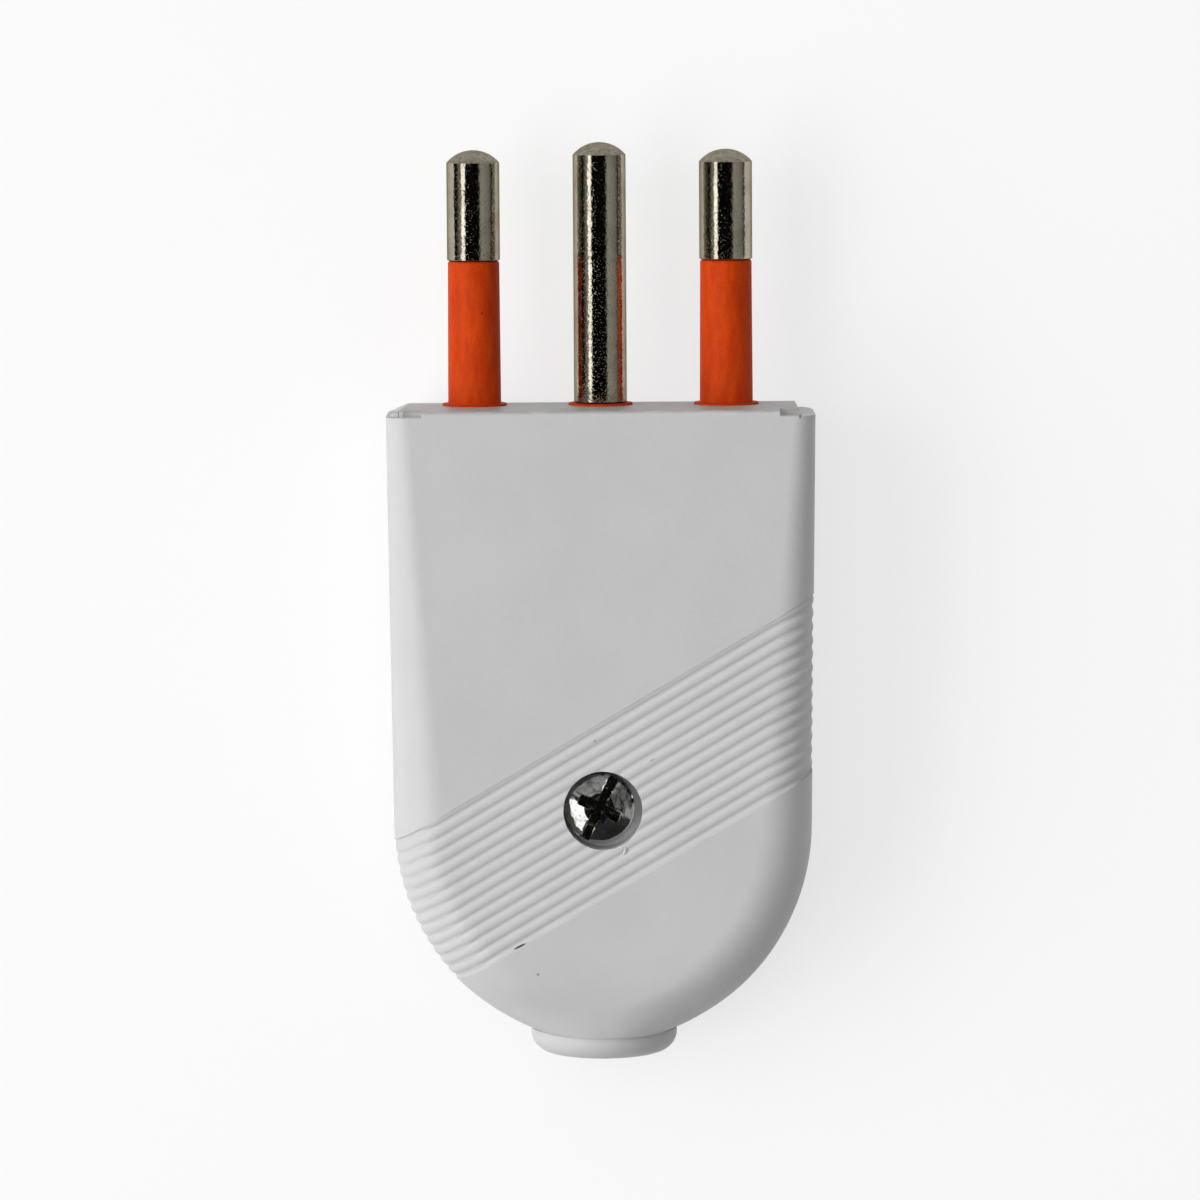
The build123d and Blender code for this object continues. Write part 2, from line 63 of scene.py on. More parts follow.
Socket = bpy.types.NodeSocket
Value = Union[Socket, float]
Colour = Union[Socket, Triple]


class Slot(Enum):
    """Material slots of the record, by name; nothing in this script uses them."""

    HOUSING = "housing"
    PINS = "pins"
    SCREWS = "screws"


class Sample(Enum):
    """Offsets in millimetres that keep the noises of one finish apart."""

    PLAIN = 0.0
    GRAIN = 3.0
    OUTLINE = 5.0
    TARNISH = 7.0
    PITS = 11.0
    DENTS = 17.0
    STREAKS = 23.0


class Shader:
    """Node tree of one material, with short calls that add and join nodes."""

    OUTLINE_CELL: Triple = (0.15, 0.15, 0.15)
    SPOT_CORE: float = 0.55
    EDGE_SAMPLES: int = 4

    def __init__(self, name: str) -> None:
        """Start a material with one principled surface.

        Args:
            name: Name of the material.
        """
        self.material = bpy.data.materials.new(name)
        self.material.use_nodes = True
        self.nodes = self.material.node_tree.nodes
        self.links = self.material.node_tree.links
        self.surface = self.nodes["Principled BSDF"]
        self.place = self.nodes.new("ShaderNodeTexCoord").outputs["Object"]

    def feed(self, socket: Socket, value: object) -> None:
        """Join a socket to another one, or set it to a constant.

        Args:
            socket: Socket that takes the value.
            value: Socket that it is joined to, or its constant.
        """
        if isinstance(value, Socket):
            self.links.new(value, socket)
        else:
            socket.default_value = value

    def set(self, name: str, value: object) -> None:
        """Give one socket of the surface a constant or a link."""
        self.feed(self.surface.inputs[name], value)

    def local(self, centre: Triple, turn: float = 0.0,
              scale: Triple = (1.0, 1.0, 1.0)) -> Socket:
        """Object coordinates measured from a point, in millimetres.

        Args:
            centre: Point in millimetres that becomes the origin.
            turn: Turn about Z in degrees.
            scale: Length in millimetres that becomes 1 along each axis.

        Returns:
            The vector socket of the new coordinates.
        """
        moved = self.nodes.new("ShaderNodeVectorMath")
        moved.operation = "SUBTRACT"
        self.links.new(self.place, moved.inputs[0])
        moved.inputs[1].default_value = [c * MM for c in centre]
        mapping = self.nodes.new("ShaderNodeMapping")
        self.links.new(moved.outputs[0], mapping.inputs["Vector"])
        mapping.vector_type = "TEXTURE"
        mapping.inputs["Rotation"].default_value = (0.0, 0.0, math.radians(turn))
        mapping.inputs["Scale"].default_value = [s * MM for s in scale]
        return mapping.outputs[0]

    def along(self, axis: int) -> Socket:
        """Object coordinate along one axis.

        Args:
            axis: 0 for X, 1 for Y and 2 for Z.

        Returns:
            The coordinate, in millimetres.
        """
        split = self.nodes.new("ShaderNodeSeparateXYZ")
        self.links.new(self.local((0.0, 0.0, 0.0)), split.inputs[0])
        return split.outputs[axis]

    def noise(self, size: Triple, detail: float = 2.0,
              sample: Sample = Sample.PLAIN) -> Socket:
        """Noise with cells of the given size.

        Args:
            size: Cell size in millimetres along each axis.
            detail: Number of finer octaves.
            sample: Which sample of the noise is taken.

        Returns:
            The noise value, about 0.5 on average.
        """
        node = self.nodes.new("ShaderNodeTexNoise")
        cells = self.local((sample.value,) * 3, 0.0, size)
        self.links.new(cells, node.inputs["Vector"])
        node.inputs["Scale"].default_value = 1.0
        node.inputs["Detail"].default_value = detail
        return node.outputs[0]

    def span(self, value: Socket, start: float, end: float,
             low: float = 0.0, high: float = 1.0) -> Socket:
        """Smooth step of a value.

        Args:
            value: Value that is stepped.
            start: Value at which the step begins.
            end: Value at which the step ends.
            low: Result before the step.
            high: Result after the step.

        Returns:
            The stepped value.
        """
        node = self.nodes.new("ShaderNodeMapRange")
        node.interpolation_type = "SMOOTHSTEP"
        self.links.new(value, node.inputs["Value"])
        node.inputs["From Min"].default_value = start
        node.inputs["From Max"].default_value = end
        node.inputs["To Min"].default_value = low
        node.inputs["To Max"].default_value = high
        return node.outputs[0]

    def math(self, operation: str, first: Value, second: Value) -> Socket:
        """Result of a Math node.

        Args:
            operation: Name of the operation.
            first: Its first value.
            second: Its second value.

        Returns:
            The result.
        """
        node = self.nodes.new("ShaderNodeMath")
        node.operation = operation
        self.feed(node.inputs[0], first)
        self.feed(node.inputs[1], second)
        return node.outputs[0]

    def mix(self, factor: Socket, first: Colour, second: Colour) -> Socket:
        """Colour between two colours.

        Args:
            factor: 0 for the first colour and 1 for the second.
            first: First colour.
            second: Second colour.

        Returns:
            The mixed colour.
        """
        node = self.nodes.new("ShaderNodeMix")
        node.data_type = "RGBA"
        self.links.new(factor, node.inputs[0])
        for socket, value in ((node.inputs[6], first), (node.inputs[7], second)):
            self.feed(socket, value if isinstance(value, Socket) else (*value, 1.0))
        return node.outputs[2]

    def spot(self, centre: Triple, half: Triple, turn: float, ragged: float) -> Socket:
        """Mask of an elongated spot.

        Args:
            centre: Centre in millimetres.
            half: Half sizes in millimetres.
            turn: Turn about Z in degrees.
            ragged: How far the outline wanders, as a share of the half sizes.

        Returns:
            A mask of 1 on the spot and 0 off it.
        """
        length = self.nodes.new("ShaderNodeVectorMath")
        length.operation = "LENGTH"
        self.links.new(self.local(centre, turn, half), length.inputs[0])
        outline = self.noise(self.OUTLINE_CELL, sample=Sample.OUTLINE)
        wander = self.math("MULTIPLY", outline, ragged)
        reach = self.math("ADD", length.outputs["Value"], wander)
        middle = 0.5 * ragged
        return self.span(reach, 1.0 + middle, self.SPOT_CORE + middle)

    def soft_edges(self, radius: float) -> Socket:
        """Normal of a surface whose edges look rounded.

        Args:
            radius: Radius of the rounding in millimetres.

        Returns:
            The normal socket.
        """
        node = self.nodes.new("ShaderNodeBevel")
        node.samples = self.EDGE_SAMPLES
        node.inputs["Radius"].default_value = radius * MM
        return node.outputs[0]

    def bump(self, height: Socket, depth: float, under: Optional[Socket] = None) -> Socket:
        """Normal of a surface raised by a height.

        Args:
            height: Height from 0 to 1.
            depth: Depth in millimetres that 1 stands for.
            under: Normal that the bump is added to.

        Returns:
            The normal socket.
        """
        node = self.nodes.new("ShaderNodeBump")
        node.inputs["Strength"].default_value = 1.0
        node.inputs["Distance"].default_value = depth * MM
        self.links.new(height, node.inputs["Height"])
        if under is not None:
            self.links.new(under, node.inputs["Normal"])
        return node.outputs[0]


@dataclass(frozen=True)
class Mark:
    """Small worn or dirty place on a moulding, or a line of painted shade."""

    centre: Triple
    half: Triple
    turn: float
    colour: Triple
    strength: float
    ragged: float = 0.6


@dataclass(frozen=True)
class MouldedPlastic:
    """Satin moulded plastic with a fine eroded grain and its marks, among them painted shade."""

    name: str
    colour: Triple
    shade: Triple
    roughness: float = 0.46
    roughness_spread: float = 0.05
    shine: float = 0.4
    grain: float = 0.22
    grain_depth: float = 0.014
    edge: float = 0.08
    cloud: Triple = (7.0, 7.0, 7.0)
    cloud_share: float = 0.65
    cloud_range: Span = (0.3, 0.7)
    marks: Tuple[Mark, ...] = ()
    scuff_and_shade_from: Optional[float] = None
    scuff_and_shade_colour: Triple = (0.4, 0.4, 0.4)
    scuff_and_shade_fade: float = 0.25
    streak: Triple = (1.1, 0.3, 0.3)
    streak_range: Span = (0.25, 0.7)
    streak_least: float = 0.3

    def scuffed_and_shaded(self, shader: Shader, colour: Socket) -> Socket:
        """Darken the pin end with streaked scuffs and painted shade.

        Args:
            shader: The material's shader.
            colour: Colour of the clean plastic.

        Returns:
            The colour with its scuffs and painted shade.
        """
        # Painted shade as well as scuffs: the pin end face is darkened in streaks.
        streaks = shader.span(shader.noise(self.streak, 3.0, Sample.STREAKS),
                              *self.streak_range, self.streak_least, 1.0)
        reach = shader.span(shader.along(1), self.scuff_and_shade_from - self.scuff_and_shade_fade,
                            self.scuff_and_shade_from)
        return shader.mix(shader.math("MULTIPLY", reach, streaks), colour, self.scuff_and_shade_colour)

    def make(self) -> bpy.types.Material:
        """Build the material.

        Returns:
            The finished material.
        """
        shader = Shader(self.name)
        cloud = shader.noise(self.cloud, 3.0)
        grain = shader.noise((self.grain,) * 3, sample=Sample.GRAIN)
        tone = shader.math("ADD", shader.math("MULTIPLY", cloud, self.cloud_share),
                           shader.math("MULTIPLY", grain, 1.0 - self.cloud_share))
        colour = shader.mix(shader.span(tone, *self.cloud_range), self.shade, self.colour)
        if self.scuff_and_shade_from is not None:
            colour = self.scuffed_and_shaded(shader, colour)
        # Marks are painted into the colour; one housing mark is painted shade.
        for mark in self.marks:
            mask = shader.spot(mark.centre, mark.half, mark.turn, mark.ragged)
            mask = shader.math("MULTIPLY", mask, mark.strength)
            colour = shader.mix(mask, colour, mark.colour)
        shader.set("Base Color", colour)
        shader.set("Specular IOR Level", self.shine)
        shader.set("Roughness", shader.span(cloud, *self.cloud_range,
                                            self.roughness - self.roughness_spread,
                                            self.roughness + self.roughness_spread))
        rounded = shader.soft_edges(self.edge)
        shader.set("Normal", shader.bump(grain, self.grain_depth, rounded))
        return shader.material


@dataclass(frozen=True)
class PlatedMetal:
    """Plated metal with drawn lines along one axis, dents, fine pits and tarnish."""

    name: str
    colour: Triple
    tarnish: Triple
    roughness: float
    lines: Triple
    line_depth: float = 0.002
    line_range: Span = (0.3, 0.75)
    line_roughness: Span = (0.7, 1.5)
    pit: float = 0.12
    pit_depth: float = 0.01
    pit_range: Span = (0.62, 0.74)
    pit_tarnish: float = 0.5
    pit_roughness: float = 0.15
    dent: float = 0.26
    dent_depth: float = 0.02
    dent_power: float = 0.4
    handled: Span = (17.0, 4.0)
    handled_least: float = 0.5
    cloud: Triple = (1.6, 1.6, 1.6)
    cloud_range: Span = (0.62, 0.3)
    grazing: Triple = (0.4, 0.36, 0.29)

    def make(self) -> bpy.types.Material:
        """Build the material.

        Returns:
            The finished material.
        """
        shader = Shader(self.name)
        lines = shader.noise(self.lines, 3.0)
        wear = shader.span(shader.along(1), *self.handled, self.handled_least, 1.0)
        dents = shader.noise((self.dent,) * 3, sample=Sample.DENTS)
        dents = shader.math("MULTIPLY", dents, shader.math("POWER", wear, self.dent_power))
        pits = shader.noise((self.pit,) * 3, 1.0, Sample.PITS)
        pits = shader.math("MULTIPLY", shader.span(pits, *self.pit_range), wear)
        cloud = shader.noise(self.cloud, 3.0, Sample.TARNISH)
        dulled = shader.math("MAXIMUM", shader.span(cloud, *self.cloud_range),
                             shader.math("MULTIPLY", pits, self.pit_tarnish))
        shader.set("Metallic", 1.0)
        shader.set("Specular Tint", (*self.grazing, 1.0))
        shader.set("Base Color", shader.mix(dulled, self.colour, self.tarnish))
        rough = shader.span(lines, *self.line_range,
                            *(self.roughness * share for share in self.line_roughness))
        rougher = shader.math("MULTIPLY", pits, self.pit_roughness)
        shader.set("Roughness", shader.math("ADD", rough, rougher))
        drawn = shader.bump(lines, self.line_depth, shader.bump(dents, self.dent_depth))
        even = shader.math("SUBTRACT", 1.0, pits)
        shader.set("Normal", shader.bump(even, self.pit_depth, drawn))
        return shader.material


HOUSING_MARKS_AND_SHADE = (
    Mark((-6.29, -40.3, 7.2), (0.66, 0.11, 1.0), 26.5, (0.03, 0.03, 0.03), 0.95, 0.2),
    Mark((-4.95, -42.43, 7.4), (0.14, 0.14, 1.0), 0.0, (0.16, 0.16, 0.16), 0.7),
    Mark((-0.56, -24.82, 7.5), (0.12, 0.12, 1.0), 0.0, (0.16, 0.16, 0.16), 0.6),
    Mark((3.69, -26.3, 7.3), (0.3, 0.07, 1.0), 28.0, (0.2, 0.2, 0.2), 0.6, 0.2),
    # Painted shade: dark line left of the raised nick, standing in for a dent's shaded wall.
    Mark((1.45, -33.04, 7.4), (0.07, 0.34, 1.0), -6.0, (0.3, 0.3, 0.3), 0.6, 0.2),
)
SLEEVE_MARKS = (Mark((-8.84, 6.87, 2.0), (0.1, 0.12, 1.0), 0.0, (0.1, 0.01, 0.0), 0.8),)


class Finish(Enum):
    """Finishes of the plug's pieces."""

    # The housing's pin end is darkened in streaks: scuffs and painted shade.
    HOUSING = MouldedPlastic("grey_housing", (0.58, 0.58, 0.58), (0.555, 0.555, 0.555),
                             marks=HOUSING_MARKS_AND_SHADE, scuff_and_shade_from=-0.2)
    BUSH = MouldedPlastic("grey_bush", (0.57, 0.57, 0.57), (0.545, 0.545, 0.545))
    CARRIER = MouldedPlastic("orange_carrier", (0.61, 0.06, 0.004), (0.48, 0.036, 0.002),
                             roughness=0.6, shine=0.1, grain=0.15, grain_depth=0.024,
                             cloud=(0.5, 2.2, 0.5), marks=SLEEVE_MARKS)
    NICKEL = PlatedMetal("nickel_pins", (0.44, 0.41, 0.33), (0.36, 0.33, 0.255), 0.05,
                         (0.12, 2.5, 0.12))
    TIP = PlatedMetal("dull_pin_tips", (0.42, 0.395, 0.315), (0.36, 0.335, 0.265), 0.6,
                      (0.25, 0.25, 0.25), pit_depth=0.003, dent_depth=0.004)
    ZINC = PlatedMetal("zinc_screws", (0.6, 0.6, 0.59), (0.42, 0.41, 0.39), 0.13,
                       (0.2, 0.2, 0.2), pit=0.2, pit_depth=0.004, dent_depth=0.007)


def finished(finish: Finish) -> bpy.types.Material:
    """Material of a finish, built the first time that it is asked for."""
    return bpy.data.materials.get(finish.value.name) or finish.value.make()


def in_order(shell: bmesh.types.BMesh) -> bmesh.types.BMesh:
    """Give the faces of a shell a fixed order, because spin makes them in any order.

    Args:
        shell: The spun shell; it is freed here.

    Returns:
        The same shell, alike in each run.
    """
    shell.verts.index_update()
    rings = []
    for face in shell.faces:
        ring = [v.index for v in face.verts]
        first = ring.index(min(ring))
        rings.append(ring[first:] + ring[:first])
    ordered = bmesh.new()
    verts = [ordered.verts.new(v.co) for v in shell.verts]
    for ring in sorted(rings):
        ordered.faces.new([verts[index] for index in ring])
    shell.free()
    return ordered


class Lathe:
    """Outline that is drawn point by point and turned into a round solid."""

    def __init__(self, radius: float, height: float) -> None:
        """Start an outline.

        Args:
            radius: Distance of its first point from the axis, in millimetres.
            height: Height of its first point along the axis, in millimetres.
        """
        self.shell = bmesh.new()
        self.last = self.shell.verts.new((radius, 0.0, height))

    def line(self, radius: float, height: float) -> "Lathe":
        """Draw a straight line.

        Args:
            radius: Distance of its end from the axis, in millimetres.
            height: Height of its end along the axis, in millimetres.

        Returns:
            The lathe itself.
        """
        point = self.shell.verts.new((radius, 0.0, height))
        self.shell.edges.new((self.last, point))
        self.last = point
        return self

    def arc(self, radius: float, height: float, turn: float, steps: int) -> "Lathe":
        """Draw an arc.

        Args:
            radius: Distance of the arc's centre from the axis, in millimetres.
            height: Height of the arc's centre, in millimetres.
            turn: Angle in degrees, from the axis of radius towards that of height.
            steps: Number of pieces of the arc.

        Returns:
            The lathe itself.
        """
        made = bmesh.ops.spin(self.shell, geom=[self.last], cent=(radius, 0.0, height),
                              axis=(0.0, -1.0, 0.0), angle=math.radians(turn), steps=steps)
        self.last = next(g for g in made["geom_last"] if isinstance(g, bmesh.types.BMVert))
        return self

    def solid(self, steps: int = 96) -> bmesh.types.BMesh:
        """Turn the outline about its axis.

        Args:
            steps: Number of faces round the axis.

        Returns:
            The closed shell, with its axis along Z.
        """
        geometry = self.shell.verts[:] + self.shell.edges[:]
        bmesh.ops.spin(self.shell, geom=geometry, cent=(0.0, 0.0, 0.0), axis=(0.0, 0.0, 1.0),
                       angle=2.0 * math.pi, steps=steps, use_merge=True)
        bmesh.ops.remove_doubles(self.shell, verts=self.shell.verts, dist=FINE_WELD)
        bmesh.ops.recalc_face_normals(self.shell, faces=self.shell.faces)
        return in_order(self.shell)


def new_piece(name: str, shell: bmesh.types.BMesh, finish: Finish,
              sharp: float = 32.0) -> bpy.types.Object:
    """Make an object of a shell in millimetres, and let it ride on the body.

    Args:
        name: Name of the piece.
        shell: Its mesh, in millimetres; it is freed here.
        finish: Its finish.
        sharp: Angle in degrees past which an edge stays sharp.

    Returns:
        The new object.
    """
    bmesh.ops.scale(shell, vec=(MM, MM, MM), verts=shell.verts)
    mesh = bpy.data.meshes.new(name)
    shell.to_mesh(mesh)
    shell.free()
    mesh.shade_smooth()
    mesh.set_sharp_from_angle(angle=math.radians(sharp))
    mesh.materials.append(finished(finish))
    piece = bpy.data.objects.new(name, mesh)
    bpy.context.scene.collection.objects.link(piece)
    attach(piece, "root")
    return piece


def dress(node: str, finish: Finish) -> bpy.types.Object:
    """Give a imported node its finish.

    Args:
        node: Name of the node.
        finish: Finish that takes the place of its own.

    Returns:
        The node's object.
    """
    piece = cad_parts[node]
    piece.data.materials.clear()
    piece.data.materials.append(finished(finish))
    return piece


@dataclass
class Housing:
    """Two moulded covers with the rib band, and the raised nick beside the screw."""

    nick_centre: Triple = (1.24, -33.06, 7.42)
    nick_radius: float = 0.42
    nick_rod: float = 0.14
    nick_sides: int = 12
    nick_steps: int = 14
    nick_end: float = 0.15
    nick_flat: float = 0.64
    nick_start: float = -58.0
    nick_sweep: float = 112.0

    def nick(self) -> bpy.types.Object:
        """Build the small crescent of raised plastic below the screw.

        Returns:
            The crescent's object.
        """
        shell = bmesh.new()
        ring = bmesh.ops.create_circle(shell, segments=self.nick_sides,
                                       radius=self.nick_rod)["verts"]
        upright = Matrix.Translation((self.nick_radius, 0.0, 0.0)) @ Matrix.Rotation(
            math.pi / 2.0, 4, "X")
        bmesh.ops.transform(shell, matrix=upright, verts=ring)
        sweep = math.radians(self.nick_sweep)
        bmesh.ops.spin(shell, geom=shell.verts[:] + shell.edges[:], cent=(0.0, 0.0, 0.0),
                       axis=(0.0, 0.0, 1.0), angle=sweep, steps=self.nick_steps)
        middle = sweep / 2.0
        for vert in shell.verts:
            turn = math.atan2(vert.co.y, vert.co.x)
            thin = max(self.nick_end, 1.0 - (abs(turn - middle) / middle) ** 3)
            core = Vector((math.cos(turn), math.sin(turn), 0.0)) * self.nick_radius
            vert.co = core + (vert.co - core) * thin
        bmesh.ops.holes_fill(shell, edges=[e for e in shell.edges if e.is_boundary])
        bmesh.ops.recalc_face_normals(shell, faces=shell.faces)
        shell = in_order(shell)
        place = Matrix.Translation(self.nick_centre) @ Matrix.Rotation(
            math.radians(self.nick_start), 4, "Z")
        bmesh.ops.scale(shell, vec=(1.0, 1.0, self.nick_flat), verts=shell.verts)
        bmesh.ops.transform(shell, matrix=place, verts=shell.verts)
        return new_piece("moulding_nick", shell, Finish.HOUSING)

    def build(self) -> List[bpy.types.Object]:
        """Dress both covers and add the nick.

        Returns:
            The covers' and the nick's objects.
        """
        covers = [dress(node, Finish.HOUSING) for node in ("front_cover", "rear_cover")]
        return covers + [self.nick()]


@dataclass
class Inside:
    """Carrier with the pins' sleeves, and the fasteners that the housing hides."""

    carrier: str = "pin_carrier"
    hardware: Tuple[str, ...] = ("terminal_screws", "cord_clamp", "cord_clamp_screws",
                                 "housing_nut")

    def build(self) -> List[bpy.types.Object]:
        """Dress the carrier and the hardware."""
        pieces = [dress(self.carrier, Finish.CARRIER)]
        return pieces + [dress(node, Finish.ZINC) for node in self.hardware]


@dataclass
class CordEntry:
    """Collar that the cord would come out of."""

    collar: str = "cord_bush"

    def build(self) -> List[bpy.types.Object]:
        """Dress the collar."""
        return [dress(self.collar, Finish.BUSH)]


@dataclass
class Contacts:
    """Three round pins with domed tips, each on a terminal block inside the housing."""

    pitch: float = 9.5
    radius: float = 2.0
    core: float = 1.5
    dome: float = 0.95
    dome_steps: int = 14
    line_tip: float = 19.05
    earth_tip: float = 19.5999
    line_bare_from: float = 10.77
    earth_bare_from: float = 0.05
    broken_edge: float = 0.07
    split: float = -4.0
    sharp: float = 20.0

    def block(self, name: str) -> bpy.types.Mesh:
        """Take the part of a node that lies inside the housing.

        Args:
            name: Name of the pin's node.

        Returns:
            The closed mesh of the terminal block and the pin's root, in millimetres.
        """
        shell = bmesh.new()
        shell.from_mesh(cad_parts[name].data)
        bmesh.ops.scale(shell, vec=(1.0 / MM,) * 3, verts=shell.verts)
        bmesh.ops.remove_doubles(shell, verts=shell.verts, dist=WELD)
        bmesh.ops.bisect_plane(shell, geom=shell.verts[:] + shell.edges[:] + shell.faces[:],
                               plane_co=(0.0, self.split, 0.0), plane_no=(0.0, 1.0, 0.0),
                               clear_outer=True)
        bmesh.ops.holes_fill(shell, edges=[e for e in shell.edges if e.is_boundary])
        for face in shell.faces:
            face.material_index = 0
        mesh = bpy.data.meshes.new(name + "_block")
        shell.to_mesh(mesh)
        shell.free()
        return mesh

    def pin(self, name: str, across: float, tip: float, bare: float) -> bpy.types.Object:
        """Build one pin on the block of its node.

        Args:
            name: Name of the node that the pin stands for.
            across: Place of the pin's axis along X, in millimetres.
            tip: Height of its tip, in millimetres.
            bare: Height at which the bare metal starts, in millimetres.

        Returns:
            The pin's object, with its tip in the second material.
        """
        ball = (self.radius ** 2 + self.dome ** 2) / (2.0 * self.dome)
        shoulder = tip - self.dome
        lean = math.degrees(math.acos((ball - self.dome) / ball))
        lathe = Lathe(0.0, self.split).line(self.core, self.split)
        lathe.line(self.core, bare).line(self.radius - self.broken_edge, bare)
        lathe.line(self.radius, bare + self.broken_edge).line(self.radius, shoulder)
        shell = lathe.arc(0.0, tip - ball, lean, self.dome_steps).solid()
        for face in shell.faces:
            face.material_index = int(face.calc_center_median().z > shoulder)
        turn = Matrix.Translation((across, 0.0, 0.0)) @ Matrix.Rotation(-math.pi / 2.0, 4, "X")
        bmesh.ops.transform(shell, matrix=turn, verts=shell.verts)
        block = self.block(name)
        shell.from_mesh(block)
        bpy.data.meshes.remove(block)
        return new_piece(name + "_turned", shell, Finish.NICKEL, self.sharp)

    def build(self) -> List[bpy.types.Object]:
        """Build the three pins in place of their nodes.

        Returns:
            The pins' objects.
        """
        pins = {
            "neutral_pin": (-self.pitch, self.line_tip, self.line_bare_from),
            "earth_pin": (0.0, self.earth_tip, self.earth_bare_from),
            "live_pin": (self.pitch, self.line_tip, self.line_bare_from),
        }
        pieces = []
        for name, places in pins.items():
            piece = self.pin(name, *places)
            piece.data.materials.append(finished(Finish.TIP))
            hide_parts(name)
            pieces.append(piece)
        return pieces


@dataclass(frozen=True)
class Flat:
    """Worn flat on one quarter of a screw's crown."""

    quarter: float
    lean: float
    slope: float
    start: float


@dataclass(frozen=True)
class Arm:
    """One arm of a screw's drive, across the head."""

    turn: float
    length: float
    width: float
    depth: float
    taper: float


@dataclass
class HousingScrew:
    """Round-headed screw with a worn cross-and-slot drive and a threaded shank."""

    centre: Span = (0.0, -30.1)
    seat: float = 5.45
    head_shift: Triple = (-0.26, 0.15, 0.0)
    head_radius: float = 2.62
    head_height: float = 1.9
    head_edge: float = 0.1
    head_sides: int = 120
    crown: float = 0.46
    crown_steps: int = 18
    corner: float = 0.07
    flats: Tuple[Flat, ...] = (Flat(199.0, 202.0, 22.0, 1.0), Flat(109.0, 114.0, 20.0, 0.9),
                               Flat(19.0, 36.0, 17.5, 0.8))
    flat_half: float = 46.0
    flat_fade: float = 8.0
    dimple_rate: float = 2.4
    dimple_depth: float = 0.014
    thread_radius: float = 1.5
    thread_root: float = 1.24
    thread_pitch: float = 0.5
    thread_crest: float = 0.45
    length: float = 12.0
    plain_length: float = 2.0
    point: float = 0.2
    turn: float = 64.0
    arms: Tuple[Arm, ...] = (Arm(0.0, 6.24, 0.76, 0.66, 0.95), Arm(0.0, 3.5, 0.98, 1.7, 0.5),
                             Arm(90.0, 3.7, 1.0, 1.7, 0.5))
    arm_cuts: int = 7
    arm_draft: float = 0.4
    pit_bottom: float = 0.4
    pit_top: float = 1.95
    pit_depth: float = 3.0
    pit_sides: int = 28
    pit_cuts: int = 8
    worn_seed: int = 5
    worn_rate: float = 1.9
    worn_depth: float = 0.085
    worn_sample: float = 3.0
    burr_reach: float = 2.25
    burr_from: float = 0.6
    burr_height: float = 0.16
    burr_size: float = 0.7
    burr_share: float = 0.25
    burr_sample: Triple = (4.0, 0.0, 0.0)
    wall_rise: float = 0.7
    crown_rise: float = 0.85
    edge_angle: float = 40.0
    edge_from: float = 0.5
    edge_rounding: float = 0.04

    def blank(self) -> bmesh.types.BMesh:
        """Turn the head and the threaded shank.

        Returns:
            The shell without its drive, standing on its seat.
        """
        rim = self.head_radius - self.corner
        ball = (rim ** 2 + self.crown ** 2) / (2.0 * self.crown)
        lean = math.degrees(math.asin(rim / ball))
        lathe = Lathe(0.0, -self.length).line(self.thread_root - self.point, -self.length)
        for index in range(int((self.length - self.plain_length) / self.thread_pitch)):
            height = -self.length + self.point + self.thread_pitch * index
            lathe.line(self.thread_root, height)
            lathe.line(self.thread_radius, height + self.thread_crest * self.thread_pitch)
        lathe.line(self.thread_root, 0.0).line(self.head_radius - self.head_edge, 0.0)
        lathe.line(self.head_radius, self.head_edge)
        lathe.line(self.head_radius, self.head_height - self.crown - self.corner)
        lathe.line(rim, self.head_height - self.crown)
        lathe.arc(0.0, self.head_height - ball, lean, self.crown_steps)
        shell = lathe.solid(self.head_sides)
        self.wear(shell, ball)
        return shell

    def wear(self, shell: bmesh.types.BMesh, ball: float) -> None:
        """Press the worn flats into the crown.

        Args:
            shell: The turned screw, standing on its seat.
            ball: Radius of the crown's sphere, in millimetres.
        """
        top = self.head_height - ball
        for vert in shell.verts:
            if vert.co.z < self.head_height - self.crown - WELD:
                continue
            angle = math.degrees(math.atan2(vert.co.y, vert.co.x))
            for flat in self.flats:
                off = abs((angle - flat.quarter + 180.0) % 360.0 - 180.0)
                share = min(1.0, max(0.0, (self.flat_half - off) / self.flat_fade))
                lean = math.radians(flat.lean)
                along = vert.co.x * math.cos(lean) + vert.co.y * math.sin(lean) - flat.start
                level = (top + math.sqrt(ball ** 2 - flat.start ** 2)
                         - math.tan(math.radians(flat.slope)) * along)
                vert.co.z += min(0.0, level - vert.co.z) * share
            dimple = noise.noise(vert.co * self.dimple_rate)
            vert.co.z += dimple * self.dimple_depth - self.dimple_depth

    def roughen(self, shell: bmesh.types.BMesh, older: int, turn: float) -> None:
        """Wear one arm of the drive and turn it into its place.

        Args:
            shell: The drive's mesh, with the arm's vertices along X.
            older: Number of vertices that were there before the arm.
            turn: Angle of the arm from the slot, in degrees.
        """
        shell.verts.ensure_lookup_table()
        verts = shell.verts[older:]
        sample = Vector((turn, 0.0, self.worn_sample))
        for vert in verts:
            vert.co += noise.noise_vector(vert.co * self.worn_rate + sample) * self.worn_depth
        spun = Matrix.Rotation(math.radians(self.turn + turn), 4, "Z")
        bmesh.ops.transform(shell, matrix=spun, verts=verts)

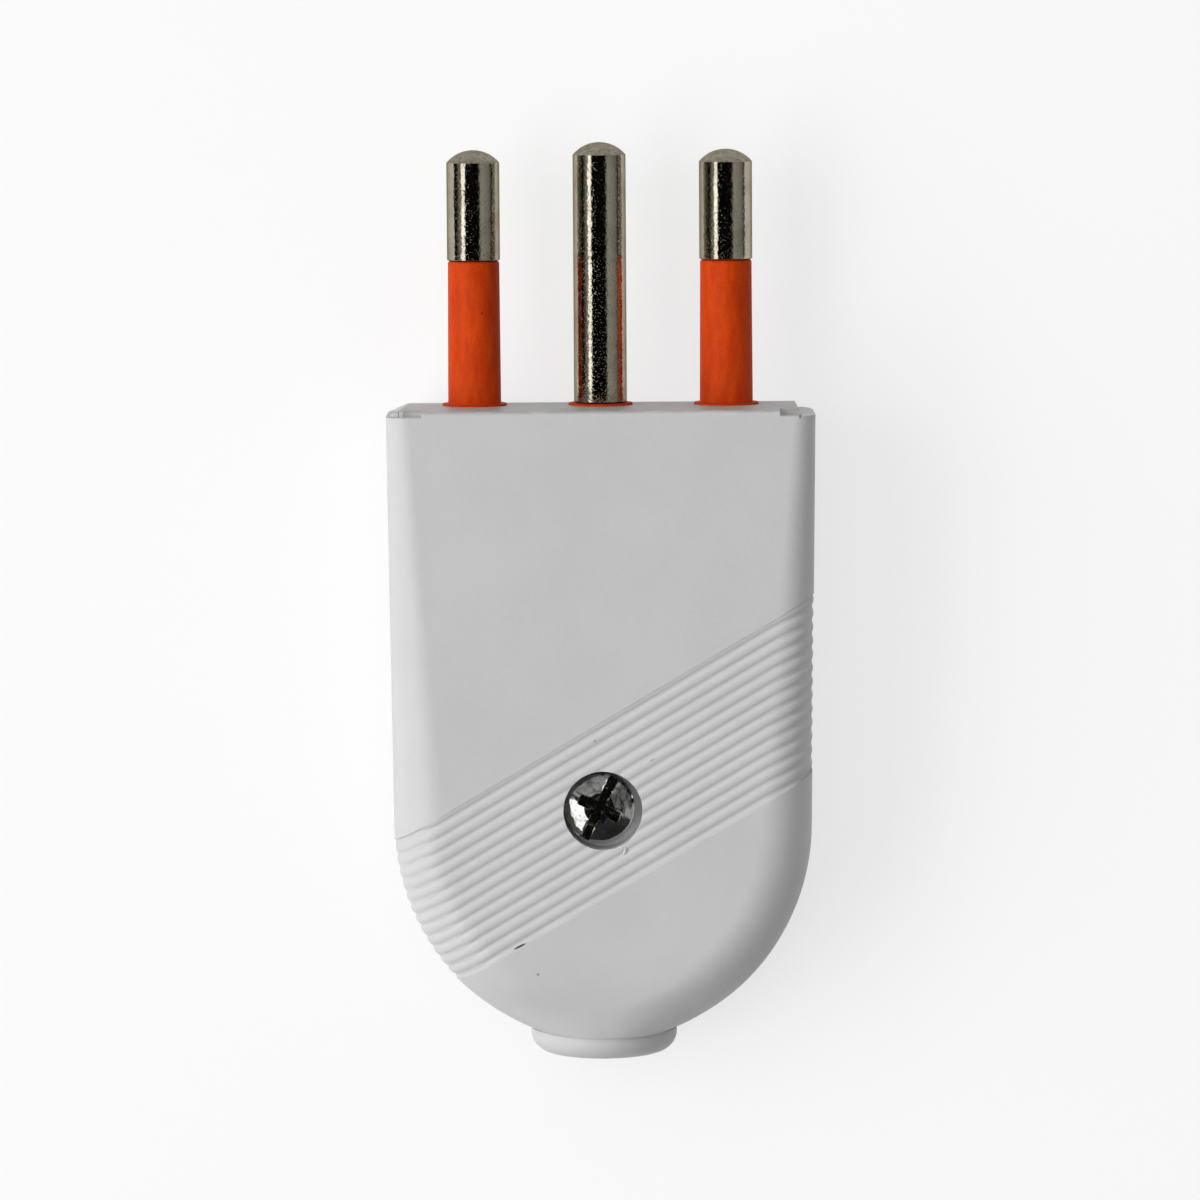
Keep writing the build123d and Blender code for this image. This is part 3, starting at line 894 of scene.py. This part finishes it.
    def cutter(self) -> bpy.types.Object:
        """Build the worn cross and slot that are cut out of the head.

        Returns:
            An object that isn't linked to the scene.
        """
        noise.seed_set(self.worn_seed)
        shell = bmesh.new()
        for arm in self.arms:
            older = len(shell.verts)
            verts = bmesh.ops.create_cube(shell, size=1.0)["verts"]
            bmesh.ops.scale(shell, vec=(arm.length, arm.width, 2.0 * arm.depth), verts=verts)
            low = [v for v in verts if v.co.z < 0.0]
            draft = 1.0 - self.arm_draft * (1.0 - arm.taper)
            bmesh.ops.scale(shell, vec=(draft, arm.taper, 1.0), verts=low)
            edges = list(dict.fromkeys(e for v in verts for e in v.link_edges))
            bmesh.ops.subdivide_edges(shell, edges=edges, cuts=self.arm_cuts,
                                      use_grid_fill=True)
            self.roughen(shell, older, arm.turn)
        older = len(shell.verts)
        cone = bmesh.ops.create_cone(shell, cap_ends=True, segments=self.pit_sides,
                                     radius1=self.pit_bottom, radius2=self.pit_top,
                                     depth=self.pit_depth)["verts"]
        upright = dict.fromkeys(e for v in cone for e in v.link_edges
                                if e.verts[0].co.z != e.verts[1].co.z)
        bmesh.ops.subdivide_edges(shell, edges=list(upright), cuts=self.pit_cuts)
        self.roughen(shell, older, 0.0)
        bmesh.ops.recalc_face_normals(shell, faces=shell.faces)
        bmesh.ops.translate(shell, vec=(0.0, 0.0, self.head_height), verts=shell.verts)
        mesh = bpy.data.meshes.new("drive_cutter")
        shell.to_mesh(mesh)
        shell.free()
        return bpy.data.objects.new("drive_cutter", mesh)

    def cut(self) -> bmesh.types.BMesh:
        """Cut the drive out of the blank.

        Returns:
            The cut screw, standing on its seat.
        """
        blank = bpy.data.meshes.new("screw_blank")
        shell = self.blank()
        shell.to_mesh(blank)
        shell.free()
        holder = bpy.data.objects.new("screw_blank", blank)
        cutter = self.cutter()
        for thing in (holder, cutter):
            bpy.context.scene.collection.objects.link(thing)
        drive = holder.modifiers.new("drive", "BOOLEAN")
        drive.object = cutter
        drive.operation = "DIFFERENCE"
        drive.solver = "EXACT"
        drive.use_self = True
        bpy.context.view_layer.update()
        found = holder.evaluated_get(bpy.context.evaluated_depsgraph_get())
        shell = bmesh.new()
        shell.from_mesh(found.to_mesh())
        for thing in (holder, cutter):
            bpy.data.objects.remove(thing)
        bmesh.ops.remove_doubles(shell, verts=shell.verts, dist=WELD)
        return shell

    def burr(self, shell: bmesh.types.BMesh) -> None:
        """Raise a torn lip along the edges of the drive.

        Args:
            shell: The cut screw, standing on its seat.
        """
        shell.normal_update()
        lips = set()
        for edge in shell.edges:
            rises = sorted(f.normal.z for f in edge.link_faces)
            if len(rises) == 2 and rises[0] < self.wall_rise and rises[1] > self.crown_rise:
                lips.update(edge.verts)
        least = self.burr_from * self.head_height
        for vert in lips:
            if vert.co.xy.length < self.burr_reach and vert.co.z > least:
                torn = noise.noise(vert.co / self.burr_size + Vector(self.burr_sample))
                vert.co.z += max(0.0, torn + self.burr_share) * self.burr_height

    def build(self) -> List[bpy.types.Object]:
        """Build the screw and set it in its recess.

        Returns:
            The screw's object.
        """
        shell = self.cut()
        self.burr(shell)
        least = self.edge_from * self.head_height
        rims = [e for e in shell.edges
                if e.calc_face_angle(0.0) > math.radians(self.edge_angle)
                and min(v.co.z for v in e.verts) > least]
        bmesh.ops.bevel(shell, geom=rims, offset=self.edge_rounding, offset_type="OFFSET",
                        affect="EDGES", segments=2, profile=0.5, material=-1,
                        clamp_overlap=True)
        head = [v for v in shell.verts if v.co.z > -WELD]
        bmesh.ops.translate(shell, vec=self.head_shift, verts=head)
        bmesh.ops.translate(shell, vec=(*self.centre, self.seat), verts=shell.verts)
        piece = new_piece("housing_screw_cut", shell, Finish.ZINC)
        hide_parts("housing_screw")
        return [piece]


@dataclass
class PhotoCamera:
    """Camera at the photograph's viewing angle."""

    target: Triple = (-0.13, -15.0, 0.0)
    distance: float = 450.0
    tilt: float = 5.8
    roll: float = -0.35
    lens: float = 178.2
    sensor: float = 36.0
    clip: Span = (0.01, 50.0)

    def place(self) -> None:
        """Create the camera and make it the scene's own."""
        data = bpy.data.cameras.new("photo_camera")
        data.lens = self.lens
        data.sensor_width = self.sensor
        data.clip_start, data.clip_end = self.clip
        camera = bpy.data.objects.new("photo_camera", data)
        tilt = math.radians(self.tilt)
        away = Vector((0.0, math.sin(tilt), math.cos(tilt))) * self.distance
        camera.location = (Vector(self.target) + away) * MM
        roll = Matrix.Rotation(math.radians(self.roll), 3, "Z")
        camera.rotation_euler = (Matrix.Rotation(-tilt, 3, "X") @ roll).to_euler()
        bpy.context.scene.collection.objects.link(camera)
        bpy.context.scene.camera = camera


@dataclass(frozen=True)
class Lamp:
    """Area lamp: place and size in metres, power in watts, and whether gloss shows it."""

    name: str
    place: Triple
    size: Span
    power: float
    mirrored: bool


@dataclass(frozen=True)
class EndWall:
    """Wall at an end of the room, between two angles above or below the middle."""

    start: float
    end: float
    colour: Triple


@dataclass
class Studio:
    """Pale floor, soft lamps and the room around them."""

    floor_level: float
    floor_reach: float = 6.0
    floor_colour: Triple = (0.9, 0.9, 0.9)
    floor_white: float = 0.7
    floor_roughness: float = 0.9
    floor_shine: float = 0.1
    fibre: Triple = (1.5, 1.5, 1.5)
    fibre_shade: float = 0.985
    lamps: Tuple[Lamp, ...] = (
        Lamp("left_panel", (-0.66, -0.07, 0.57), (0.8, 0.8), 6.2, False),
        Lamp("ceiling_panel", (-0.05, 0.14, 0.87), (0.5, 0.5), 1.7, False),
        Lamp("side_strip", (-0.585, 0.0, 0.615), (1.4, 0.22), 2.1, True),
    )
    aim: Triple = (0.0, -0.015, 0.0)
    ends: Tuple[EndWall, ...] = (
        EndWall(12.0, 16.0, (0.1, 0.1, 0.1)), EndWall(24.0, 32.0, (0.46, 0.46, 0.45)),
        EndWall(-17.0, -22.0, (0.03, 0.03, 0.03)),
    )
    walls: Tuple[Span, ...] = (
        (-110.0, 0.3), (-102.0, 0.01), (-74.0, 0.01), (-68.0, 0.12), (-58.0, 0.32),
        (-52.0, 0.32), (-34.0, 0.004), (26.0, 0.004), (35.0, 0.46), (58.0, 0.36),
        (76.0, 0.26), (81.0, 0.1), (110.0, 0.1),
    )
    wall_blue: float = 0.97
    under_level: float = 0.3

    def build(self) -> None:
        """Add the floor, the lamps and the world."""
        self.floor()
        for lamp in self.lamps:
            self.hang(lamp)
        self.room()

    def floor(self) -> None:
        """Lay the pale floor."""
        shell = bmesh.new()
        bmesh.ops.create_grid(shell, x_segments=1, y_segments=1, size=self.floor_reach)
        bmesh.ops.translate(shell, verts=shell.verts, vec=(0.0, 0.0, self.floor_level))
        mesh = bpy.data.meshes.new("floor")
        shell.to_mesh(mesh)
        shell.free()
        floor = bpy.data.objects.new("floor", mesh)
        bpy.context.scene.collection.objects.link(floor)
        shader = Shader("pale_paper")
        shade = tuple(c * self.fibre_shade for c in self.floor_colour)
        fibre = shader.noise(self.fibre, 3.0)
        shader.set("Base Color", shader.mix(fibre, shade, self.floor_colour))
        shader.set("Roughness", self.floor_roughness)
        shader.set("Specular IOR Level", self.floor_shine)
        self.whiten(shader)
        mesh.materials.append(shader.material)

    def whiten(self, shader: Shader) -> None:
        """Let camera, glossy and transmitted rays see the floor partly lit and partly white.

        Args:
            shader: The floor's shader.
        """
        nodes, links = shader.nodes, shader.links
        path = nodes.new("ShaderNodeLightPath").outputs
        seen = shader.math("MAXIMUM", path["Is Camera Ray"], path["Is Glossy Ray"])
        seen = shader.math("MAXIMUM", seen, path["Is Transmission Ray"])
        glow = nodes.new("ShaderNodeEmission")
        blend = nodes.new("ShaderNodeMixShader")
        links.new(shader.math("MULTIPLY", seen, self.floor_white), blend.inputs[0])
        links.new(shader.surface.outputs[0], blend.inputs[1])
        links.new(glow.outputs[0], blend.inputs[2])
        links.new(blend.outputs[0], nodes["Material Output"].inputs["Surface"])

    def hang(self, lamp: Lamp) -> None:
        """Add one lamp that points at the object.

        Args:
            lamp: The lamp's values.
        """
        data = bpy.data.lights.new(lamp.name, "AREA")
        data.shape = "RECTANGLE"
        data.size, data.size_y = lamp.size
        data.energy = lamp.power
        light = bpy.data.objects.new(lamp.name, data)
        light.location = lamp.place
        aim = Vector(self.aim) - Vector(lamp.place)
        light.rotation_euler = aim.to_track_quat("-Z", "Y").to_euler()
        light.visible_glossy = lamp.mirrored
        bpy.context.scene.collection.objects.link(light)

    def room(self) -> None:
        """Light the world as a room: dark above, pale walls at the sides and at the pins' end."""
        world = bpy.data.worlds.new("room")
        bpy.context.scene.world = world
        world.use_nodes = True
        nodes, links = world.node_tree.nodes, world.node_tree.links
        split = nodes.new("ShaderNodeSeparateXYZ")
        links.new(nodes.new("ShaderNodeTexCoord").outputs["Generated"], split.inputs[0])
        angle = nodes.new("ShaderNodeMath")
        angle.operation = "ARCTAN2"
        links.new(split.outputs[0], angle.inputs[0])
        links.new(split.outputs[2], angle.inputs[1])
        turn = nodes.new("ShaderNodeMapRange")
        links.new(angle.outputs[0], turn.inputs["Value"])
        turn.inputs["From Min"].default_value = -math.pi
        turn.inputs["From Max"].default_value = math.pi
        ramp = nodes.new("ShaderNodeValToRGB")
        links.new(turn.outputs[0], ramp.inputs[0])
        stops = ramp.color_ramp.elements
        for stop, position in zip(stops, (0.0, 1.0)):
            stop.position, stop.color = position, (*(self.under_level,) * 3, 1.0)
        for degrees, level in self.walls:
            colour = (level, level, level * self.wall_blue, 1.0)
            stops.new((degrees + 180.0) / 360.0).color = colour
        seen = ramp.outputs[0]
        for wall in self.ends:
            reach = nodes.new("ShaderNodeMapRange")
            reach.interpolation_type = "SMOOTHSTEP"
            links.new(split.outputs[1], reach.inputs["Value"])
            reach.inputs["From Min"].default_value = math.sin(math.radians(wall.start))
            reach.inputs["From Max"].default_value = math.sin(math.radians(wall.end))
            joined = nodes.new("ShaderNodeMix")
            joined.data_type = "RGBA"
            links.new(reach.outputs[0], joined.inputs[0])
            links.new(seen, joined.inputs[6])
            joined.inputs[7].default_value = (*wall.colour, 1.0)
            seen = joined.outputs[2]
        links.new(seen, nodes["Background"].inputs["Color"])


def main() -> None:
    """Build, dress and light the plug."""
    logging.basicConfig(level=logging.INFO)
    bpy.context.scene.view_settings.view_transform = "Standard"
    for group in (Housing(), Inside(), Contacts(), HousingScrew(), CordEntry()):
        for piece in group.build():
            LOG.info("%s: %s", type(group).__name__, piece.name)
    PhotoCamera().place()
    Studio(floor_level=CAD_BOX[0][2]).build()


if __name__ == "__main__":
    main()
